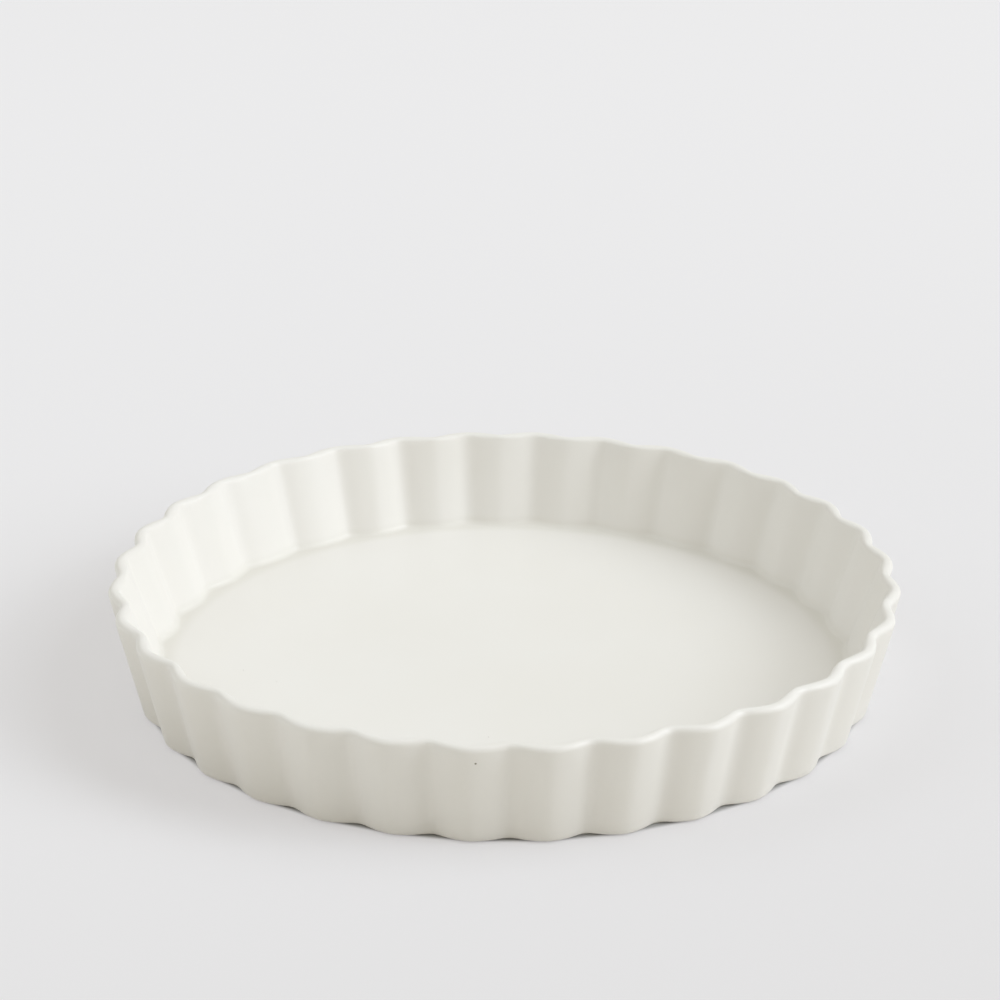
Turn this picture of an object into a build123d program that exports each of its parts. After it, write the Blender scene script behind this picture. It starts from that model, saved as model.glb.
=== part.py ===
from build123d import *

import os
from math import atan, atan2, cos, degrees, hypot, radians, sin, sqrt

# Fluted quiche dish: one fired ceramic piece with a fluted wall, a round lip, a flat floor
# and a low foot ring.
# Lengths are in millimetres. The origin is the centre of the surface that the dish stands
# on, +Z points up, and a crest of the wall stands on each of +X, +Y, -X and -Y.
# A fluted outline is sized by the radius that its crests reach.

os.makedirs("parts", exist_ok=True)

# The dish as a whole
dish_height = 41.5
flute_count = 32
flute_depth = 2.8

# Outside of the wall, before its edges are rounded
rim_diameter = 300.8
heel_diameter = 280.6
heel_rounding = 1.4
heel_band_count = 2

# Lip, and the wall's root where it meets the floor: thicknesses are measured level
lip_thickness = 4.5
root_thickness = 7.9
lip_rounding = 2.0
lip_band_count = 3

# Well: the inside of the dish
well_rounding = 8.0
well_band_count = 4
floor_thickness = 4.6

# Foot ring, and the recess inside it
foot_height = 0.8
foot_width = 5.0
foot_set_back = 2.6
foot_chamfer = 0.3
recess_depth = 1.4
recess_chamfer = 0.5

# Directions in a section, in degrees above the horizontal
downwards = -90
upwards = 90

# Places worked out from the sizes
floor_level = recess_depth + floor_thickness
foot_outer_radius = heel_diameter / 2 - flute_depth - foot_set_back
foot_inner_radius = foot_outer_radius - foot_width


def polar_point(radius, angle):
    """Returns the point at a radius and an angle in degrees."""
    return (radius * cos(radians(angle)), radius * sin(radians(angle)))


def draw_flutes(crest_radius):
    """Draws a closed outline of tangent crest and valley arcs, with a crest on +X."""
    pitch = 360 / flute_count
    half_pitch = pitch / 2
    valley_radius = crest_radius - flute_depth

    # Crest arcs and valley arcs share one radius. A crest's centre lies that radius inside
    # the crest and a valley's centre lies it outside the valley, so the arcs meet tangent
    # when the two centres are twice the radius apart. This solves for that radius.
    spread = 1 - cos(radians(half_pitch))
    tip_gap_squared = flute_depth**2 + 2 * crest_radius * valley_radius * spread
    slope = (2 - spread) * flute_depth
    arc_radius = (sqrt(slope**2 + 2 * spread * tip_gap_squared) - slope) / (2 * spread)

    # They meet halfway between the two centres.
    crest_centre_x = crest_radius - arc_radius
    valley_centre_x, valley_centre_y = polar_point(valley_radius + arc_radius, half_pitch)
    meeting_x = (crest_centre_x + valley_centre_x) / 2
    meeting_y = valley_centre_y / 2
    meeting_radius = hypot(meeting_x, meeting_y)
    meeting_angle = degrees(atan2(meeting_y, meeting_x))

    for flute in range(flute_count):
        crest_angle = flute * pitch
        before_crest = polar_point(meeting_radius, crest_angle - meeting_angle)
        crest = polar_point(crest_radius, crest_angle)
        after_crest = polar_point(meeting_radius, crest_angle + meeting_angle)
        valley = polar_point(valley_radius, crest_angle + half_pitch)
        after_valley = polar_point(meeting_radius, crest_angle + pitch - meeting_angle)
        ThreePointArc(before_crest, crest, after_crest)
        ThreePointArc(after_crest, valley, after_valley)


class WallSlope:
    """One side of the wall in section: a straight line that leans outwards going up."""

    def __init__(self, low_radius, low_height, high_radius, high_height):
        self.low_radius = low_radius
        self.low_height = low_height
        self.rate = (high_radius - low_radius) / (high_height - low_height)
        self.lean = degrees(atan(self.rate))

    def radius_at(self, height):
        """Returns the crest radius of the slope at a height."""
        return self.low_radius + (height - self.low_height) * self.rate

    def reach(self, rounding):
        """Returns how far, measured level, a rounding's centre stands from the slope."""
        return rounding / cos(radians(self.lean))


def rounded_edge(centre_radius, centre_height, rounding, first_normal, last_normal, count):
    """Returns the (crest radius, height) pairs of a rounded edge, from below upwards.

    The edge is an arc about the centre. It starts where its normal, pointing away from
    the centre, has the first direction, ends where it has the last, and is cut into
    a count of bands of equal turn.
    """
    turn = (last_normal - first_normal) / count
    section = []
    for band in range(count + 1):
        across, up = polar_point(rounding, first_normal + band * turn)
        section.append((centre_radius + across, centre_height + up))
    return section


outer_slope = WallSlope(heel_diameter / 2, foot_height, rim_diameter / 2, dish_height)
inner_slope = WallSlope(
    outer_slope.radius_at(floor_level) - root_thickness,
    floor_level,
    outer_slope.radius_at(dish_height) - lip_thickness,
    dish_height,
)
heel_centre_height = foot_height + heel_rounding
well_centre_height = floor_level + well_rounding
lip_centre_height = dish_height - lip_rounding

# Outside of the dish: rounded under at the heel, rounded over at the lip
outer_section = rounded_edge(
    outer_slope.radius_at(heel_centre_height) - outer_slope.reach(heel_rounding),
    heel_centre_height,
    heel_rounding,
    downwards,
    -outer_slope.lean,
    heel_band_count,
) + rounded_edge(
    outer_slope.radius_at(lip_centre_height) - outer_slope.reach(lip_rounding),
    lip_centre_height,
    lip_rounding,
    -outer_slope.lean,
    upwards,
    lip_band_count,
)

# Well: the floor runs into the wall through a wide rounding, and the lip is rounded over
# towards the inside as it is towards the outside
well_section = rounded_edge(
    inner_slope.radius_at(well_centre_height) - inner_slope.reach(well_rounding),
    well_centre_height,
    well_rounding,
    downwards,
    -inner_slope.lean,
    well_band_count,
) + rounded_edge(
    inner_slope.radius_at(lip_centre_height) + inner_slope.reach(lip_rounding),
    lip_centre_height,
    lip_rounding,
    2 * upwards - inner_slope.lean,
    upwards,
    lip_band_count,
)

with BuildPart() as dish:
    # Body: the flutes run the full height of the wall, which leans outwards.
    for crest_radius, height in outer_section:
        with BuildSketch(Plane.XY.offset(height)):
            with BuildLine():
                draw_flutes(crest_radius)
            make_face()
    loft(ruled=True)

    # Well: the same flutes seen from inside, from the lip down to the floor.
    for crest_radius, height in well_section:
        with BuildSketch(Plane.XY.offset(height)):
            with BuildLine():
                draw_flutes(crest_radius)
            make_face()
    loft(ruled=True, mode=Mode.SUBTRACT)

    # Foot ring: the only part that touches the table, set back under the heel.
    with BuildSketch(Plane.XY):
        Circle(foot_outer_radius)
        Circle(foot_inner_radius, mode=Mode.SUBTRACT)
    extrude(amount=foot_height)
    chamfer(dish.edges().group_by(Axis.Z)[0], foot_chamfer)

    # Recess: the underside is lifted off the table inside the foot ring.
    with BuildSketch(Plane.XY.offset(foot_height)):
        Circle(foot_inner_radius)
    extrude(amount=recess_depth - foot_height, mode=Mode.SUBTRACT)
    recess_ceiling = dish.faces(Select.LAST).sort_by(Axis.Z)[-1]
    chamfer(recess_ceiling.edges(), recess_chamfer)

dish.part.label = "dish"
export_step(dish.part, "parts/dish.step")
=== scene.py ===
"""Fluted quiche dish in white glazed stoneware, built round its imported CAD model.

Sizes are in millimetres in the dataclass fields and become metres where Blender needs them.
The origin is the centre of the surface that the dish stands on, and +Z points up.
"""

import logging
import math
from collections.abc import Callable, Container
from dataclasses import dataclass, field
from enum import Enum

import bmesh
import bpy
from mathutils import Euler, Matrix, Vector


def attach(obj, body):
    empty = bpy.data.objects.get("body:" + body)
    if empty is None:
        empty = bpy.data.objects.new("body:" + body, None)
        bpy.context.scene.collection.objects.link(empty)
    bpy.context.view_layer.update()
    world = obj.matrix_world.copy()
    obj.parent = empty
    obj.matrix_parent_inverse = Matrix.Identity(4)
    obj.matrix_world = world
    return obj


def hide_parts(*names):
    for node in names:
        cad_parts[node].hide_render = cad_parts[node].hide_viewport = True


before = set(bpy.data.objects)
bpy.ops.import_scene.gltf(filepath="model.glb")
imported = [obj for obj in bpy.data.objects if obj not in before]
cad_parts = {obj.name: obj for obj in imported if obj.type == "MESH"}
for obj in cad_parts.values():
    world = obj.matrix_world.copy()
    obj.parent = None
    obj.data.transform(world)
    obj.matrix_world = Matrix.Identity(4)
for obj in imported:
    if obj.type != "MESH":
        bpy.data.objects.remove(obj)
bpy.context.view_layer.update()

MM = 0.001

log = logging.getLogger("quiche_dish")


# Small helpers


def linear(colour: str) -> tuple[float, float, float, float]:
    """Turns an sRGB hex colour into the linear colour that Blender's sockets take.

    Args:
        colour: The colour as "#rrggbb".

    Returns:
        Red, green, blue and an alpha of 1.
    """
    shares = [int(colour[place : place + 2], 16) / 255 for place in (1, 3, 5)]
    red, green, blue = (
        share / 12.92 if share <= 0.04045 else ((share + 0.055) / 1.055) ** 2.4
        for share in shares
    )
    return (red, green, blue, 1.0)


def add_node(
    tree: bpy.types.NodeTree,
    kind: str,
    inputs: dict[str | int, object] | None = None,
    **settings: object,
) -> bpy.types.Node:
    """Adds a node with its settings, its fixed inputs and its links.

    Args:
        tree: The node tree that gets the node.
        kind: Blender's name for the kind of node.
        inputs: For each input, by name or place, an output socket to link or a value to set.
        **settings: Properties of the node itself.

    Returns:
        The new node.
    """
    node = tree.nodes.new(kind)
    for name, value in settings.items():
        setattr(node, name, value)
    for name, value in (inputs or {}).items():
        if isinstance(value, bpy.types.NodeSocket):
            tree.links.new(value, node.inputs[name])
        else:
            node.inputs[name].default_value = value
    return node


def add_noise(
    tree: bpy.types.NodeTree, place: bpy.types.NodeSocket, size: float, detail: float
) -> bpy.types.NodeSocket:
    """Adds soft noise.

    Args:
        tree: The node tree.
        place: The place on the piece.
        size: How wide the noise's patches are, in millimetres.
        detail: How many finer layers lie in them.

    Returns:
        The noise's output, from 0 to 1.
    """
    inputs = {"Vector": place, "Scale": 1 / (size * MM), "Detail": detail}
    return add_node(tree, "ShaderNodeTexNoise", inputs).outputs["Fac"]


def add_step(
    tree: bpy.types.NodeTree,
    value: bpy.types.NodeSocket,
    start: float,
    end: float,
    top: float = 1.0,
) -> bpy.types.NodeSocket:
    """Adds a smooth step that is 0 at the start value and the top value at the end value.

    Args:
        tree: The node tree.
        value: The value that the step follows.
        start: Where the step is 0.
        end: Where the step has come to its top.
        top: How high the step is.

    Returns:
        The step's output.
    """
    node = add_node(
        tree,
        "ShaderNodeMapRange",
        {"Value": value, "From Min": start, "From Max": end, "To Max": top},
        interpolation_type="SMOOTHSTEP",
    )
    return node.outputs["Result"]


def blend(
    tree: bpy.types.NodeTree,
    share: bpy.types.NodeSocket,
    under: bpy.types.NodeSocket | tuple[float, ...],
    over: str,
) -> bpy.types.NodeSocket:
    """Adds a mix of two colours.

    Args:
        tree: The node tree.
        share: How much of the upper colour shows.
        under: The lower colour.
        over: The upper colour as "#rrggbb".

    Returns:
        The mixed colour's output.
    """
    inputs = {0: share, 6: under, 7: linear(over)}
    return add_node(tree, "ShaderNodeMix", inputs, data_type="RGBA").outputs["Result"]


def reckon(
    tree: bpy.types.NodeTree, operation: str, first: object, second: object
) -> bpy.types.NodeSocket:
    """Adds a node that does a named sum on two values and returns its output."""
    node = add_node(tree, "ShaderNodeMath", {0: first, 1: second}, operation=operation)
    return node.outputs["Value"]


def blank_material(name: str) -> tuple[bpy.types.Material, bpy.types.NodeTree]:
    """Makes a material whose node tree is still empty.

    Args:
        name: The material's name.

    Returns:
        The material and its node tree.
    """
    material = bpy.data.materials.new(name)
    material.use_nodes = True
    material.node_tree.nodes.clear()
    return material, material.node_tree


def begin_mesh(add: Callable[[], object], name: str) -> bpy.types.Object:
    """Adds a primitive with nothing else selected and opens it in edit mode.

    Args:
        add: The call that adds the primitive.
        name: The name of the piece that it becomes.

    Returns:
        The new object.
    """
    bpy.ops.object.select_all(action="DESELECT")
    add()
    piece = bpy.context.object
    piece.name = piece.data.name = name
    bpy.ops.object.mode_set(mode="EDIT")
    bpy.ops.mesh.select_mode(type="VERT")
    return piece


# The dish


@dataclass(frozen=True)
class Rounding:
    """A rounded edge in section: an arc about a centre, in millimetres and degrees.

    Angles are those of the arc's normal above the horizontal, pointing outwards.
    """

    centre_radius: float
    centre_height: float
    radius: float
    first_normal: float
    last_normal: float
    steps: int

    def points(self) -> list[tuple[float, float]]:
        """Cuts the arc into steps of equal turn.

        Returns:
            The (radius, height) points of the arc, in order.
        """
        turn = (self.last_normal - self.first_normal) / self.steps
        angles = [math.radians(self.first_normal + step * turn) for step in range(self.steps + 1)]
        return [
            (
                self.centre_radius + self.radius * math.cos(angle),
                self.centre_height + self.radius * math.sin(angle),
            )
            for angle in angles
        ]


class FluteSide(Enum):
    """The side of the wall that a fluted outline belongs to."""

    OUTSIDE = "outside"
    INSIDE = "inside"


@dataclass
class DishBody:
    """The one fired piece: fluted wall, round lip, well, floor, foot ring and recess."""

    height: float = 41.5
    flutes: int = 32
    flute_depth: float = 3.45
    inner_flute_depth: float = 3.2
    steps_per_flute: int = 12
    tip_sharpness_share: float = 0.14
    flank_flatness_share: float = 0.07
    uneven_valleys: dict[int, float] = field(
        default_factory=lambda: {
            0: 0.86, 2: 1.08, 3: 1.15, 5: 0.9, 6: 1.1, 11: 0.82, 12: 0.8, 14: 1.1, 15: 1.12,
            16: 0.75, 19: 1.1, 20: 0.92, 22: 1.1, 23: 1.12, 25: 1.2, 26: 1.35, 27: 1.25, 28: 1.1,
        }
    )
    rim_radius: float = 150.4
    heel_radius: float = 140.3
    heel_height: float = 0.55
    heel_rounding: float = 1.6
    heel_steps: int = 4
    lip_thickness: float = 4.5
    lip_rounding: float = 2.0
    lip_steps: int = 5
    floor_level: float = 6.0
    root_thickness: float = 7.9
    well_rounding: float = 3.0
    well_steps: int = 6
    recess_height: float = 1.4
    foot_inner_radius: float = 129.9
    foot_outer_radius: float = 134.9
    foot_edge: float = 0.35
    glaze_line: float = 0.12
    middle_margin: float = 1.0
    weld_distance: float = 0.001
    wall_heights: tuple[float, ...] = (7.0, 13.0, 20.0, 27.0, 34.0)
    floor_radii: tuple[float, ...] = (122.0, 114.0, 93.0, 62.0, 28.0)
    underside_radii: tuple[float, ...] = (30.0, 75.0, 113.0, 127.0)

    def outer_radius_at(self, height: float) -> float:
        """Returns the crest radius of the wall's outside at a height."""
        rate = (self.rim_radius - self.heel_radius) / (self.height - self.heel_height)
        return self.heel_radius + (height - self.heel_height) * rate

    def inner_radius_at(self, height: float) -> float:
        """Follows the wall's inside, which leans out a little more than its outside.

        Args:
            height: The height above the table.

        Returns:
            The radius of the inside's crests at that height.
        """
        low = self.outer_radius_at(self.floor_level) - self.root_thickness
        high = self.rim_radius - self.lip_thickness
        return low + (height - self.floor_level) * (high - low) / (self.height - self.floor_level)

    def lean(self, radius_at: Callable[[float], float]) -> float:
        """Returns how far a side of the wall leans outwards, in degrees."""
        return math.degrees(math.atan(radius_at(1.0) - radius_at(0.0)))

    def plain_section(self) -> list[tuple[float, float]]:
        """Lays out the round part of the section: underside, recess and foot ring.

        Returns:
            Its (radius, height) points, from the middle out.
        """
        edge = self.foot_edge
        inner, outer = self.foot_inner_radius, self.foot_outer_radius
        top = self.recess_height
        return [
            *((radius, top) for radius in self.underside_radii),
            (inner - 2 * edge, top),
            (inner - edge / 2, top - edge / 2),
            (inner, top - 2 * edge),
            (inner, edge),
            (inner + edge / 3, edge / 3),
            (inner + edge, 0.0),
            ((inner + outer) / 2, 0.0),
            (outer - edge, 0.0),
            (outer - edge / 3, edge / 3),
            (outer, edge),
            (outer + edge / 3, self.heel_height - edge / 2),
            (outer + 2 * edge, self.heel_height),
        ]

    def outer_section(self) -> list[tuple[float, float]]:
        """Lays out the fluted outside: heel, wall and outer half of the lip.

        Returns:
            Its (crest radius, height) points, from the heel up.
        """
        lean = self.lean(self.outer_radius_at)
        slant = math.cos(math.radians(lean))
        heel_centre = self.heel_height + self.heel_rounding
        lip_centre = self.height - self.lip_rounding
        heel = Rounding(
            centre_radius=self.outer_radius_at(heel_centre) - self.heel_rounding / slant,
            centre_height=heel_centre,
            radius=self.heel_rounding,
            first_normal=-90.0,
            last_normal=-lean,
            steps=self.heel_steps,
        )
        lip = Rounding(
            centre_radius=self.outer_radius_at(lip_centre) - self.lip_rounding / slant,
            centre_height=lip_centre,
            radius=self.lip_rounding,
            first_normal=-lean,
            last_normal=90.0,
            steps=self.lip_steps,
        )
        wall = [(self.outer_radius_at(height), height) for height in self.wall_heights]
        return [*heel.points(), *wall, *lip.points()]

    def inner_section(self) -> list[tuple[float, float]]:
        """Lays out the fluted inside: inner half of the lip, wall and floor.

        Returns:
            Its (crest radius, height) points, from the top of the lip down and in.
        """
        lean = self.lean(self.inner_radius_at)
        slant = math.cos(math.radians(lean))
        lip_centre = self.height - self.lip_rounding
        well_centre = self.floor_level + self.well_rounding
        lip = Rounding(
            centre_radius=self.inner_radius_at(lip_centre) + self.lip_rounding / slant,
            centre_height=lip_centre,
            radius=self.lip_rounding,
            first_normal=90.0,
            last_normal=180.0 - lean,
            steps=self.lip_steps,
        )
        well = Rounding(
            centre_radius=self.inner_radius_at(well_centre) - self.well_rounding / slant,
            centre_height=well_centre,
            radius=self.well_rounding,
            first_normal=-lean,
            last_normal=-90.0,
            steps=self.well_steps,
        )
        wall = [
            (self.inner_radius_at(height), height)
            for height in reversed(self.wall_heights)
            if height > well_centre
        ]
        floor = [(radius, self.floor_level) for radius in self.floor_radii]
        return [*lip.points(), *wall, *well.points(), *floor]

    def flute_share(self, step: int, side: FluteSide) -> float:
        """Returns how far towards the valley an outline is at a step from a crest.

        A wall of even thickness has round crests and tight valleys outside, and the
        other way round inside.

        Args:
            step: The step along the flute, counted from its crest.
            side: The side of the wall.

        Returns:
            0 on the crest to 1 in the valley.
        """
        turn = 2 * math.pi * step / self.steps_per_flute
        sharp = self.tip_sharpness_share * (1 if side is FluteSide.OUTSIDE else -1)
        flat = self.flank_flatness_share
        wave = math.cos(turn) - sharp * math.cos(2 * turn) + flat * math.cos(3 * turn)
        return (1 - sharp + flat - wave) / (2 + 2 * flat)

    def extrude_ring(self, start: tuple[float, float], end: tuple[float, float]) -> None:
        """Extrudes the selected ring to the next point of the section.

        Args:
            start: The ring's radius and height now.
            end: The radius and height of the new ring.
        """
        rise = (end[1] - start[1]) * MM
        bpy.ops.mesh.extrude_region_move(TRANSFORM_OT_translate={"value": (0.0, 0.0, rise)})
        spread = end[0] / start[0]
        bpy.ops.transform.resize(value=(spread, spread, 1.0), center_override=(0.0, 0.0, 0.0))

    def follow(self, section: list[tuple[float, float]]) -> None:
        """Extrudes the selected ring along a section, from its first point to its last.

        Args:
            section: The points; the ring already lies on the first one.
        """
        for start, end in zip(section, section[1:]):
            self.extrude_ring(start, end)

    def draw_in(
        self,
        piece: bpy.types.Object,
        crest: float,
        depth_at: Callable[[int], float],
        valleys: Container[int],
    ) -> None:
        """Draws the selected ring inwards between its crests, step by step along the flute.

        Args:
            piece: The object in edit mode.
            crest: The ring's crest radius, which its crests keep.
            depth_at: How far in the ring goes, at a step from the crest.
            valleys: The numbers of the valleys that it is done in, counted from +X round.
        """
        pitch = 2 * math.pi / (self.flutes * self.steps_per_flute)
        ring = {
            vertex.index: round(math.atan2(vertex.co.y, vertex.co.x) / pitch)
            for vertex in bmesh.from_edit_mesh(piece.data).verts
            if vertex.select
        }
        for step in range(1, self.steps_per_flute // 2 + 1):
            mesh = bmesh.from_edit_mesh(piece.data)
            mesh.verts.ensure_lookup_table()
            for index, place in ring.items():
                flute, along = divmod(place, self.steps_per_flute)
                fits = along in (step, self.steps_per_flute - step)
                mesh.verts[index].select = fits and flute % self.flutes in valleys
            mesh.select_flush(False)
            bmesh.update_edit_mesh(piece.data)
            pull = 1 - depth_at(step) / crest
            bpy.ops.transform.resize(value=(pull, pull, 1.0), center_override=(0.0, 0.0, 0.0))
        mesh = bmesh.from_edit_mesh(piece.data)
        mesh.verts.ensure_lookup_table()
        for index in ring:
            mesh.verts[index].select = True
        mesh.select_flush(True)
        bmesh.update_edit_mesh(piece.data)

    def flute_ring(self, piece: bpy.types.Object, crest: float) -> None:
        """Turns the selected round ring into the fluted outline of the heel.

        Args:
            piece: The object in edit mode.
            crest: The ring's radius, which its crests keep.
        """
        even = set(range(self.flutes)) - set(self.uneven_valleys)
        depths = {1.0: even}
        for valley, share in self.uneven_valleys.items():
            depths.setdefault(share, set()).add(valley)
        for share, valleys in depths.items():
            depth = self.flute_depth * share
            self.draw_in(
                piece,
                crest,
                lambda step: depth * self.flute_share(step, FluteSide.OUTSIDE),
                valleys,
            )

    def build(self) -> bpy.types.Object:
        """Models the dish ring by ring from its underside out, up, over the lip and in.

        Returns:
            The finished piece, without its materials.
        """
        plain, outside, inside = self.plain_section(), self.outer_section(), self.inner_section()
        piece = begin_mesh(
            lambda: bpy.ops.mesh.primitive_circle_add(
                vertices=self.flutes * self.steps_per_flute,
                radius=plain[0][0] * MM,
                fill_type="NOTHING",
                location=(0.0, 0.0, plain[0][1] * MM),
            ),
            "dish_body",
        )
        bpy.ops.object.mode_set(mode="OBJECT")
        bpy.ops.object.transform_apply(location=True, rotation=True, scale=True)
        bpy.ops.object.mode_set(mode="EDIT")
        self.follow([*plain, outside[0]])
        self.flute_ring(piece, outside[0][0])
        self.follow(outside)
        self.turn_over_lip(piece, outside, inside)
        self.follow(inside[self.lip_steps :])
        self.smooth(piece)
        self.close_middle(piece, plain[0])
        self.close_middle(piece, inside[-1])
        self.seal(piece)
        return piece

    def turn_over_lip(
        self,
        piece: bpy.types.Object,
        outside: list[tuple[float, float]],
        inside: list[tuple[float, float]],
    ) -> None:
        """Carries the ring over the lip and gives it the outline of the wall's inside.

        Args:
            piece: The object in edit mode.
            outside: The section that the ring has come up by.
            inside: The section that it goes down by.
        """
        outer_depth = self.flute_depth * outside[-1][0] / outside[0][0]
        lip = [outside[-1], *inside[: self.lip_steps + 1]]
        turns = len(lip) - 1
        for start, end in zip(lip, lip[1:]):
            self.extrude_ring(start, end)
            self.draw_in(
                piece,
                end[0],
                lambda step: (
                    self.inner_flute_depth * self.flute_share(step, FluteSide.INSIDE)
                    - outer_depth * self.flute_share(step, FluteSide.OUTSIDE)
                )
                / turns,
                range(self.flutes),
            )

    def smooth(self, piece: bpy.types.Object) -> None:
        """Rounds the mesh between its rings, and leaves it in object mode.

        Args:
            piece: The object in edit mode.
        """
        bpy.ops.object.mode_set(mode="OBJECT")
        bpy.ops.object.modifier_add(type="SUBSURF")
        smoothing = piece.modifiers[-1]
        smoothing.levels = smoothing.render_levels = 1
        bpy.ops.object.modifier_apply(modifier=smoothing.name)

    def close_middle(self, piece: bpy.types.Object, ring: tuple[float, float]) -> None:
        """Closes the opening that the innermost ring leaves, at the underside or the floor.

        Args:
            piece: The object, in object mode.
            ring: The radius and height of that ring.
        """
        margin = self.middle_margin * MM
        reach, level = ring[0] * MM + margin, ring[1] * MM
        bpy.ops.object.mode_set(mode="EDIT")
        mesh = bmesh.from_edit_mesh(piece.data)
        for vertex in mesh.verts:
            near = vertex.co.xy.length < reach and abs(vertex.co.z - level) < margin
            vertex.select = vertex.is_boundary and near
        mesh.select_flush(True)
        mesh.select_flush(False)
        bmesh.update_edit_mesh(piece.data)
        bpy.ops.mesh.edge_face_add()
        bpy.ops.mesh.poke()
        bpy.ops.object.mode_set(mode="OBJECT")

    def seal(self, piece: bpy.types.Object) -> None:
        """Welds what lies in one place and turns the whole skin outwards.

        Args:
            piece: The object, in object mode.
        """
        bpy.context.view_layer.objects.active = piece
        bpy.ops.object.mode_set(mode="EDIT")
        bpy.ops.mesh.select_all(action="SELECT")
        bpy.ops.mesh.remove_doubles(threshold=self.weld_distance * MM)
        bpy.ops.mesh.normals_make_consistent(inside=False)
        bpy.ops.object.mode_set(mode="OBJECT")
        bpy.ops.object.shade_smooth()

    def dress(
        self, piece: bpy.types.Object, glaze: bpy.types.Material, bare: bpy.types.Material
    ) -> None:
        """Glazes the dish all over but for the foot ring, which stands on the kiln shelf bare.

        Args:
            piece: The finished body.
            glaze: The glaze.
            bare: The fired clay where the glaze is wiped off.
        """
        piece.data.materials.append(glaze)
        piece.data.materials.append(bare)
        for face in piece.data.polygons:
            top = max(piece.data.vertices[corner].co.z for corner in face.vertices)
            face.material_index = int(top < self.glaze_line * MM)


# Finishes


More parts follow.
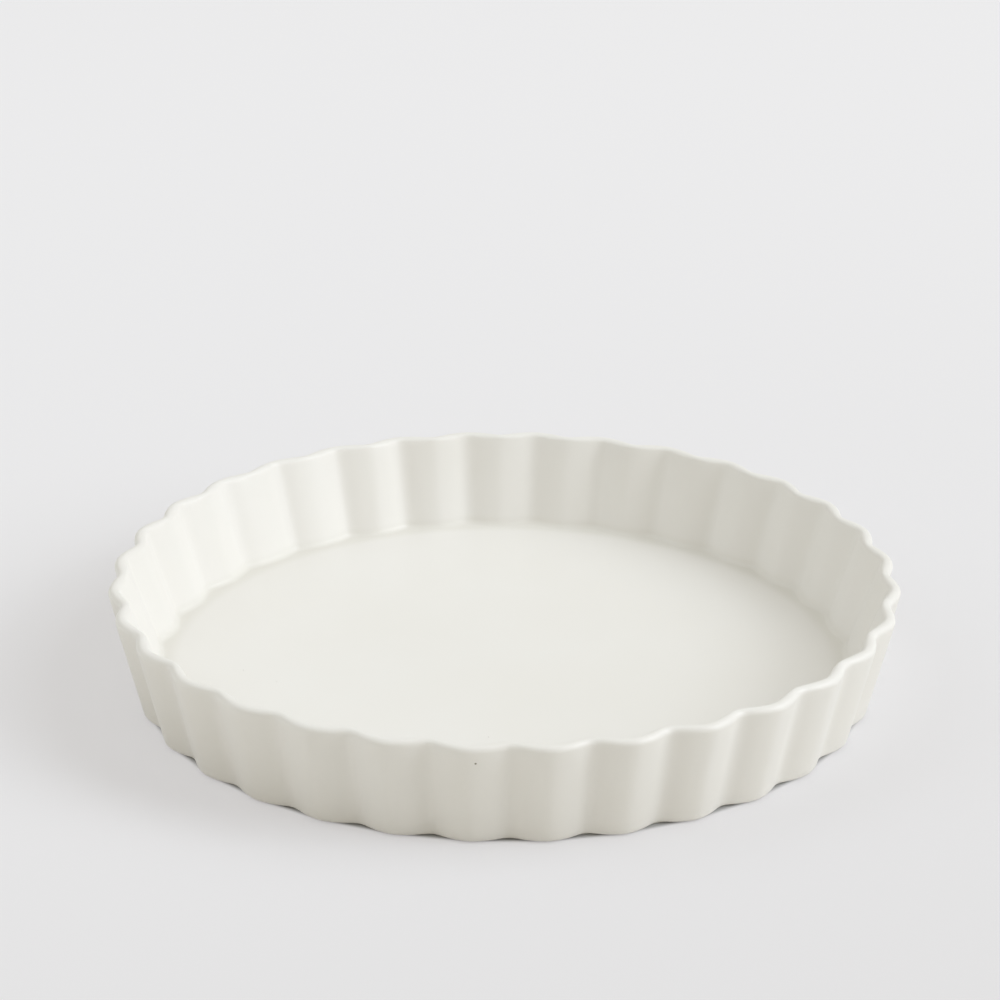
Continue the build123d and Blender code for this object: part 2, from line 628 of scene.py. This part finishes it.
@dataclass(frozen=True)
class WhiteGlaze:
    """Opaque warm white glaze on stoneware, poured and fired to a soft gloss."""

    name: str = "white_stoneware_glaze"
    colour: str = "#f0eeea"
    drift_colour: str = "#edeae4"
    # Painted shade in the corner of the well: its colour, how strongly it shows and where it lies.
    corner_shade_colour: str = "#dedbd0"
    speck_colour: str = "#8d8576"
    drift_size: float = 60.0
    corner_shade_share: float = 0.35
    corner_radii: tuple[float, float] = (124.0, 130.0)
    corner_heights: tuple[float, float] = (10.0, 6.0)
    corner_shade_outer_radii: tuple[float, float] = (137.0, 135.5)
    speck_spacing: float = 7.0
    speck_radius: float = 0.22
    speck_share: float = 0.05
    front_speck: tuple[float, float, float] = (2.9, -149.0, 35.4)
    front_speck_squeeze: tuple[float, float, float] = (1.0, 0.1, 1.0)
    front_speck_radius: float = 0.5
    patch_size: float = 22.0
    patch_noise: tuple[float, float] = (0.3, 0.7)
    roughness: tuple[float, float] = (0.38, 0.46)
    peel_size: float = 6.0
    peel_depth: float = 0.4
    peel_strength: float = 0.05
    ior: float = 1.5

    def base_colour(
        self, tree: bpy.types.NodeTree, place: bpy.types.NodeSocket
    ) -> bpy.types.NodeSocket:
        """Adds the colour: drift, painted shade in the well's corner and iron specks.

        Args:
            tree: The node tree.
            place: The place on the dish.

        Returns:
            The colour's output.
        """
        axes = add_node(tree, "ShaderNodeSeparateXYZ", {"Vector": place})
        height = axes.outputs["Z"]
        flat = add_node(
            tree, "ShaderNodeCombineXYZ", {"X": axes.outputs["X"], "Y": axes.outputs["Y"]}
        )
        radius = add_node(
            tree, "ShaderNodeVectorMath", {0: flat.outputs["Vector"]}, operation="LENGTH"
        ).outputs["Value"]

        # The colour drifts a little over a hand's width: the coat is not quite even.
        drift = add_noise(tree, place, self.drift_size, detail=2.0)
        colour = blend(tree, drift, linear(self.colour), self.drift_colour)

        # Painted shade: the corner of the well is darkened all the way round, where shade falls.
        outwards = add_step(tree, radius, *(edge * MM for edge in self.corner_radii))
        downwards = add_step(tree, height, *(edge * MM for edge in self.corner_heights))
        inside = add_step(tree, radius, *(edge * MM for edge in self.corner_shade_outer_radii))
        corner = reckon(tree, "MULTIPLY", outwards, downwards)
        within = reckon(tree, "MULTIPLY", corner, inside)
        painted_corner_shade = reckon(tree, "MULTIPLY", within, self.corner_shade_share)
        colour = blend(tree, painted_corner_shade, colour, self.corner_shade_colour)

        # A few pinhead specks of iron from the clay show through.
        cells = add_node(
            tree, "ShaderNodeTexVoronoi", {"Vector": place, "Scale": 1 / (self.speck_spacing * MM)}
        )
        reach = self.speck_radius / self.speck_spacing
        dot = add_step(tree, cells.outputs["Distance"], reach, reach / 2)
        lot = add_node(tree, "ShaderNodeSeparateColor", {"Color": cells.outputs["Color"]})
        drawn = reckon(tree, "LESS_THAN", lot.outputs["Red"], self.speck_share)
        shown = reckon(tree, "MULTIPLY", dot, drawn)
        colour = blend(tree, shown, colour, self.speck_colour)

        # The largest one sits high on the front of the wall. Depth counts for little here,
        # so that the speck stays on the surface whatever the flute does.
        squeeze = Vector(self.front_speck_squeeze)
        squeezed = add_node(
            tree, "ShaderNodeVectorMath", {0: place, 1: squeeze}, operation="MULTIPLY"
        )
        spot = Vector(self.front_speck) * MM
        away = add_node(
            tree,
            "ShaderNodeVectorMath",
            {0: squeezed.outputs["Vector"], 1: spot * squeeze},
            operation="DISTANCE",
        )
        edge = self.front_speck_radius * MM
        front = add_step(tree, away.outputs["Value"], edge, edge / 2)
        return blend(tree, front, colour, self.speck_colour)

    def build(self) -> bpy.types.Material:
        """Builds the glaze.

        Returns:
            The glaze as a material.
        """
        material, tree = blank_material(self.name)
        place = add_node(tree, "ShaderNodeTexCoord").outputs["Object"]
        colour = self.base_colour(tree, place)

        # The gloss is patchy: some parts of the coat mirror a little more than others.
        low, high = self.patch_noise
        least, most = self.roughness
        gloss = add_node(
            tree,
            "ShaderNodeMapRange",
            {
                "Value": add_noise(tree, place, self.patch_size, detail=2.0),
                "From Min": low,
                "From Max": high,
                "To Min": least,
                "To Max": most,
            },
        )

        # Orange peel: the slightly dimpled skin that breaks up reflections.
        bump = add_node(
            tree,
            "ShaderNodeBump",
            {
                "Height": add_noise(tree, place, self.peel_size, detail=1.0),
                "Strength": self.peel_strength,
                "Distance": self.peel_depth * MM,
            },
        )
        shader = add_node(
            tree,
            "ShaderNodeBsdfPrincipled",
            {
                "Base Color": colour,
                "Roughness": gloss.outputs["Result"],
                "IOR": self.ior,
                "Normal": bump.outputs["Normal"],
            },
        )
        add_node(tree, "ShaderNodeOutputMaterial", {"Surface": shader.outputs["BSDF"]})
        return material


@dataclass(frozen=True)
class BareStoneware:
    """Fired stoneware with no glaze on it, rubbed smooth after firing."""

    name: str = "bare_stoneware_foot"
    colour: str = "#d8cdb9"
    grain_colour: str = "#c4b69d"
    grain_size: float = 0.6
    grain_depth: float = 0.1
    grain_strength: float = 0.3
    roughness: float = 0.85

    def build(self) -> bpy.types.Material:
        """Builds the bare clay.

        Returns:
            The clay as a material.
        """
        material, tree = blank_material(self.name)
        place = add_node(tree, "ShaderNodeTexCoord").outputs["Object"]
        # Sanded clay: fine darker grains in a pale body, dull and a little rough to the touch.
        grit = add_noise(tree, place, self.grain_size, detail=3.0)
        bump = add_node(
            tree,
            "ShaderNodeBump",
            {
                "Height": grit,
                "Strength": self.grain_strength,
                "Distance": self.grain_depth * MM,
            },
        )
        shader = add_node(
            tree,
            "ShaderNodeBsdfPrincipled",
            {
                "Base Color": blend(tree, grit, linear(self.colour), self.grain_colour),
                "Roughness": self.roughness,
                "Normal": bump.outputs["Normal"],
            },
        )
        add_node(tree, "ShaderNodeOutputMaterial", {"Surface": shader.outputs["BSDF"]})
        return material


@dataclass(frozen=True)
class PaperSweep:
    """Matt studio paper under the dish, with a painted glow that lightens its shadows.

    Only what is seen or mirrored of the paper has the painted glow, so no more light falls on the
    dish for it. The glow fades out under the dish's foot, which paints a dark contact shadow
    there.
    """

    name: str = "studio_paper"
    bounce_colour: str = "#edebe7"
    seen_colour: str = "#bdbdbd"
    # Painted glow on the paper that is seen or mirrored, which lightens its shadows.
    painted_glow_colour: str = "#fffcff"
    painted_glow_strength: float = 0.355
    # Painted contact shadow: the radii where the painted glow fades out under the foot.
    painted_contact_shadow_radii: tuple[float, float] = (136.0, 138.8)

    def build(self) -> bpy.types.Material:
        """Builds the paper.

        Returns:
            The paper as a material.
        """
        material, tree = blank_material(self.name)
        bounce, seen = (
            add_node(tree, "ShaderNodeBsdfDiffuse", {"Color": linear(colour), "Roughness": 1.0})
            for colour in (self.bounce_colour, self.seen_colour)
        )
        # Painted contact shadow: the painted glow fades out under the dish's foot, so the paper
        # seen there stays darker.
        place = add_node(tree, "ShaderNodeTexCoord").outputs["Object"]
        away = add_node(tree, "ShaderNodeVectorMath", {0: place}, operation="LENGTH")
        dark, clear = (radius * MM for radius in self.painted_contact_shadow_radii)
        strength = add_step(tree, away.outputs["Value"], dark, clear, self.painted_glow_strength)
        # Painted glow: the seen and mirrored paper glows a little, lightening its shadows.
        painted_glow = add_node(
            tree, "ShaderNodeEmission", {"Color": linear(self.painted_glow_colour), "Strength": strength}
        )
        seen_with_painted_glow = add_node(
            tree, "ShaderNodeAddShader", {0: seen.outputs["BSDF"], 1: painted_glow.outputs["Emission"]}
        )
        rays = add_node(tree, "ShaderNodeLightPath").outputs
        shown = rays["Is Camera Ray"]
        for kind in ("Is Glossy Ray", "Is Transmission Ray"):
            shown = reckon(tree, "MAXIMUM", shown, rays[kind])
        mixed = add_node(
            tree,
            "ShaderNodeMixShader",
            {0: shown, 1: bounce.outputs["BSDF"], 2: seen_with_painted_glow.outputs["Shader"]},
        )
        add_node(tree, "ShaderNodeOutputMaterial", {"Surface": mixed.outputs["Shader"]})
        return material


# Studio


@dataclass(frozen=True)
class Softbox:
    """A soft lamp that looks at the dish from a direction, in degrees, with its power in watts."""

    name: str
    azimuth: float
    elevation: float
    distance: float
    width: float
    height: float
    strength: float
    colour: str = "#ffffff"

    def build(self) -> bpy.types.Object:
        """Hangs the lamp and aims it at the dish.

        Returns:
            The lamp.
        """
        lamp = bpy.data.lights.new(self.name, "AREA")
        lamp.shape = "RECTANGLE"
        lamp.size = self.width * MM
        lamp.size_y = self.height * MM
        lamp.energy = self.strength
        lamp.color = linear(self.colour)[:3]
        holder = bpy.data.objects.new(self.name, lamp)
        bpy.context.scene.collection.objects.link(holder)
        turn, rise = math.radians(self.azimuth), math.radians(self.elevation)
        away = Vector(
            (math.cos(turn) * math.cos(rise), math.sin(turn) * math.cos(rise), math.sin(rise))
        )
        holder.location = away * self.distance * MM
        holder.rotation_euler = away.to_track_quat("Z", "Y").to_euler()
        return holder


@dataclass(frozen=True)
class PhotoCamera:
    """The camera, where the photograph's was: solved from the rim and the base line."""

    focal_pixels: float = 3345.0
    frame_pixels: float = 1000.0
    distance: float = 1270.5
    pitch: float = 22.35
    roll: float = 0.25
    turn: float = 4.9
    rim_pixel: tuple[float, float] = (504.7, 572.6)
    rim_height: float = 41.5
    sensor: float = 36.0
    reach: tuple[float, float] = (50.0, 50000.0)

    def build(self) -> bpy.types.Object:
        """Sets up the camera.

        Returns:
            The camera.
        """
        data = bpy.data.cameras.new("photo_camera")
        data.sensor_width = self.sensor
        data.lens = self.focal_pixels / self.frame_pixels * self.sensor
        data.clip_start, data.clip_end = (length * MM for length in self.reach)
        camera = bpy.data.objects.new("photo_camera", data)
        bpy.context.scene.collection.objects.link(camera)
        aim = Euler((math.radians(90 - self.pitch), 0.0, math.radians(self.turn)), "XYZ")
        pose = aim.to_matrix() @ Euler((0.0, 0.0, math.radians(self.roll)), "XYZ").to_matrix()
        middle = self.frame_pixels / 2
        ray = Vector(
            (
                (self.rim_pixel[0] - middle) / self.focal_pixels,
                -(self.rim_pixel[1] - middle) / self.focal_pixels,
                -1.0,
            )
        ).normalized()
        rim = Vector((0.0, 0.0, self.rim_height * MM))
        camera.location = rim - pose @ ray * self.distance * MM
        camera.rotation_euler = pose.to_euler()
        bpy.context.scene.camera = camera
        return camera


@dataclass
class Studio:
    """Pale paper floor, an even surround and soft lamps."""

    floor_sides: int = 96
    floor_radius: float = 4000.0
    surround_colour: str = "#e8e8e8"
    surround_strength: float = 0.488
    fill_colour: str = "#fffcf1"
    lamps: tuple[Softbox, ...] = (
        Softbox("key_softbox", 8.0, 43.0, 3000.0, 1800.0, 2000.0, 33.5, "#f1f7ff"),
        Softbox("side_softbox", -13.0, 28.0, 3000.0, 1200.0, 1500.0, 28.5, "#f1f7ff"),
        Softbox("left_softbox", 185.0, 45.0, 1800.0, 1400.0, 1400.0, 7.0, "#eaf4ff"),
        Softbox("corner_softbox", 230.0, 30.0, 1800.0, 1400.0, 1400.0, 0.8, "#fff0d2"),
        Softbox("back_softbox", 95.0, 45.0, 1800.0, 1400.0, 1400.0, 2.2),
    )

    def build_floor(self) -> bpy.types.Object:
        """Lays the paper floor.

        Returns:
            The floor.
        """
        floor = begin_mesh(
            lambda: bpy.ops.mesh.primitive_circle_add(
                vertices=self.floor_sides, radius=self.floor_radius * MM, fill_type="NGON"
            ),
            "paper_floor",
        )
        bpy.ops.mesh.inset(thickness=self.floor_radius * MM / 2)
        bpy.ops.object.mode_set(mode="OBJECT")
        floor.data.materials.append(PaperSweep().build())
        return floor

    def build_surround(self) -> None:
        """Lights the dish evenly from all round and shows the camera the backdrop's tone."""
        world = bpy.data.worlds.new("studio_surround")
        bpy.context.scene.world = world
        world.use_nodes = True
        tree = world.node_tree
        tree.nodes.clear()
        rays = add_node(tree, "ShaderNodeLightPath")
        fill = add_node(
            tree,
            "ShaderNodeBackground",
            {"Color": linear(self.fill_colour), "Strength": self.surround_strength},
        )
        seen = add_node(tree, "ShaderNodeBackground", {"Color": linear(self.surround_colour)})
        mixed = add_node(
            tree,
            "ShaderNodeMixShader",
            {
                0: rays.outputs["Is Camera Ray"],
                1: fill.outputs["Background"],
                2: seen.outputs["Background"],
            },
        )
        add_node(tree, "ShaderNodeOutputWorld", {"Surface": mixed.outputs["Shader"]})

    def build(self) -> None:
        """Sets up floor, surround and lamps."""
        self.build_floor()
        self.build_surround()
        for lamp in self.lamps:
            lamp.build()


def main() -> None:
    """Builds the dish and its studio, and reports each piece."""
    logging.basicConfig(level=logging.INFO, format="%(message)s")
    bpy.context.scene.view_settings.view_transform = "Standard"

    PhotoCamera().build()
    Studio().build()

    body = DishBody()
    piece = body.build()
    body.dress(piece, WhiteGlaze().build(), BareStoneware().build())
    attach(piece, "root")
    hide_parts("dish")
    log.info("%s: %d faces", piece.name, len(piece.data.polygons))


if __name__ == "__main__":
    main()
